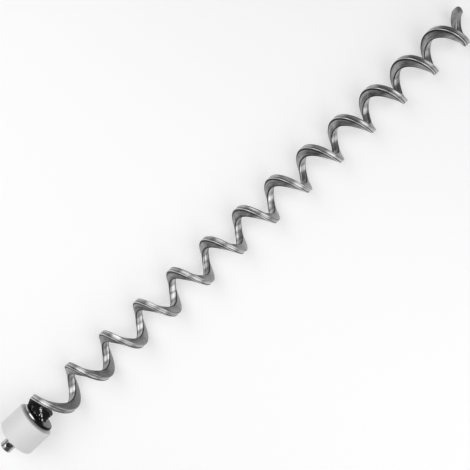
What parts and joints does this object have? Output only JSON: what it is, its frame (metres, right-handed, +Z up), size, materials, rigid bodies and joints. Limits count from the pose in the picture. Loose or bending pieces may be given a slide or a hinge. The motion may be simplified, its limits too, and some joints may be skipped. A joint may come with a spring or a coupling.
{
  "type": "screw conveyor auger",
  "caption": "Coreless screw conveyor auger: a right-hand steel flighting coil welded to a turned drive hub, whose journal runs in a nylon bushing.",
  "frame": {"origin": "centre of the drive shaft's end face, on the axis of rotation", "axes": "+X along the axis from the drive end to the free end of the coil, +Z up with the auger lying on its side, +Y to the left of +X"},
  "size_m": [0.6303, 0.0402, 0.0402],
  "materials": {
    "coil_steel": "satin drawn steel bar with soft cross bands",
    "hub_steel": "turned and lightly polished steel",
    "weld_steel": "dark as-welded bead",
    "nylon": "white moulded nylon, slightly translucent"
  },
  "bodies": {
    "auger": {"flighting_coil": "coil_steel", "drive_hub": "hub_steel", "hub_weld": "weld_steel"},
    "bushing": {"bearing_bushing": "nylon"}
  },
  "joints": [
    {"name": "bushing_spin", "type": "hinge", "parent": "auger", "child": "bushing", "pos_m": [0.0264, 0, 0], "axis": [1, 0, 0], "continuous": true}
  ]
}
